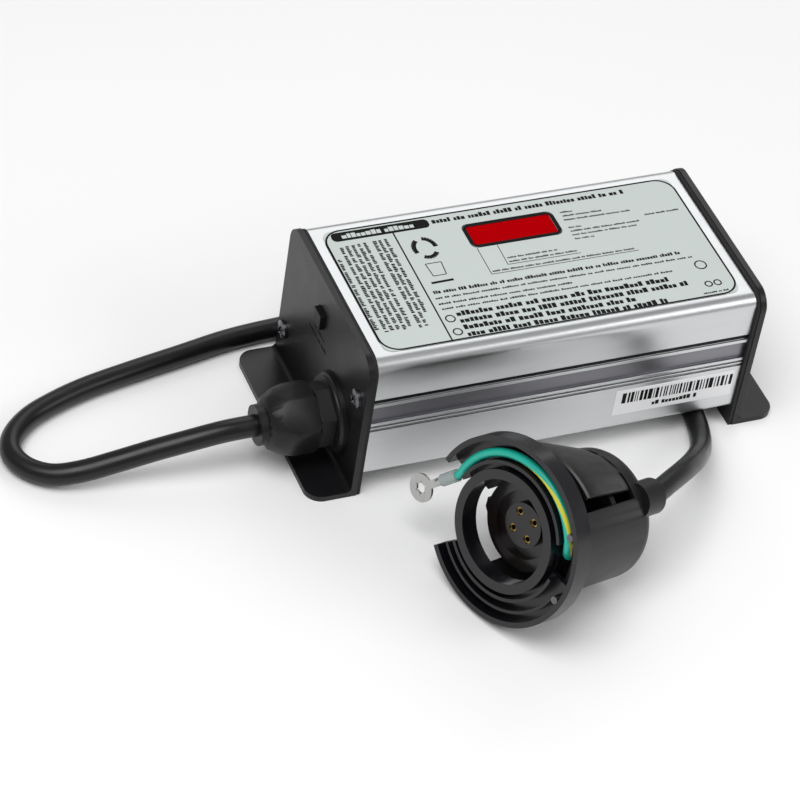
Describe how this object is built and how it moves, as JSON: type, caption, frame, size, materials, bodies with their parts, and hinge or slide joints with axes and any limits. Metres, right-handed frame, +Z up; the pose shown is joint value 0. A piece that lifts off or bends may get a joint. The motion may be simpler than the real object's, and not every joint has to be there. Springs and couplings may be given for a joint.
{
  "type": "ultraviolet lamp controller",
  "caption": "Extruded box with footed end plates, a display window and a push button, feeding a round lamp connector on a short cord with a ground lead.",
  "frame": {"origin": "on the surface that the feet stand on, under the centre of the extruded box", "axes": "+Z up, +X along the box from the cord gland end to the mains inlet end, -Y towards the side with the serial label"},
  "size_m": [0.3181, 0.2039, 0.0745],
  "materials": {
    "brushed_aluminium": "satin, brushed along its length",
    "black_painted_steel": "satin black powder coat",
    "gasket_rubber": "matt",
    "black_screws": "black oxide",
    "printed_label": "printed polyester film",
    "red_window": "tinted clear red",
    "board_green": "solder mask",
    "dark_parts": "moulded",
    "nylon": "natural nylon",
    "ferrite": "sintered ferrite",
    "winding": "taped winding",
    "can_sleeve": "shrink sleeve",
    "red_film": "dipped",
    "fuse_glass": "clear",
    "plated_steel": "plated",
    "wire_insulation": "PVC",
    "black_button": "moulded",
    "black_nylon": "moulded nylon",
    "cord_jacket": "satin jacket",
    "connector_plastic": "moulded, semi-gloss",
    "contact_brass": "plated",
    "ground_insulation": "green with a yellow stripe",
    "sleeve_plastic": "heat-shrink sleeve"
  },
  "bodies": {
    "controller": {"housing": "brushed_aluminium", "left_end_plate": "black_painted_steel", "right_end_plate": "black_painted_steel", "left_gasket": "gasket_rubber", "right_gasket": "gasket_rubber", "left_plate_screws": "black_screws", "right_plate_screws": "black_screws", "face_label": "printed_label", "serial_label": "printed_label", "display_window": "red_window", "display_digits": "dark_parts", "display_board": "board_green", "display_spacers": "nylon", "main_board": "board_green", "transformer_core": "ferrite", "transformer_winding": "winding", "line_choke": "winding", "bulk_capacitor": "can_sleeve", "film_capacitors": "red_film", "power_transistors": "dark_parts", "transistor_pads": "gasket_rubber", "control_chip": "dark_parts", "alarm_buzzer": "dark_parts", "line_fuse": "fuse_glass", "fuse_clips": "plated_steel", "lamp_terminals": "board_green", "mains_terminals": "board_green", "lamp_wires": "wire_insulation", "mains_wires": "wire_insulation", "reset_switch": "dark_parts", "button_spring": "plated_steel", "inlet_body": "black_nylon", "inlet_pins": "plated_steel", "inlet_screws": "black_screws", "inlet_nuts": "plated_steel", "gland_washer": "gasket_rubber", "gland_body": "black_nylon", "gland_locknut": "black_nylon", "gland_seal": "gasket_rubber", "gland_nut": "black_nylon", "cord_ends": "cord_jacket", "lamp_cord": "cord_jacket", "connector_ring": "connector_plastic", "connector_cap": "connector_plastic", "lamp_socket": "connector_plastic", "socket_contacts": "contact_brass", "socket_carrier": "connector_plastic", "ring_screws": "black_screws", "ground_wire": "ground_insulation", "ground_sleeve": "sleeve_plastic", "ring_terminal": "plated_steel"},
    "button": {"reset_button": "black_button"},
    "upper_squeeze_tab": {"upper_tab": "connector_plastic"},
    "lower_squeeze_tab": {"lower_tab": "connector_plastic"}
  },
  "joints": [
    {"name": "button_press", "type": "slide", "parent": "controller", "child": "button", "axis": [1, 0, 0], "range_m": [0, 0.0015], "stiffness_N_per_m": 400, "springref_m": -0.0005, "deforming": ["button_spring"]},
    {"name": "upper_tab_squeeze", "type": "hinge", "parent": "controller", "child": "upper_squeeze_tab", "pos_m": [-0.00657, -0.09895, 0.05106], "axis": [0.342, -0.9397, 0], "range_deg": [0, 4], "stiffness_Nm_per_rad": 6, "springref_deg": -1.15},
    {"name": "lower_tab_squeeze", "type": "hinge", "parent": "controller", "child": "lower_squeeze_tab", "pos_m": [-0.01873, -0.10338, 0.00276], "axis": [-0.342, 0.9397, 0], "range_deg": [0, 4], "stiffness_Nm_per_rad": 6, "springref_deg": -1.15}
  ]
}
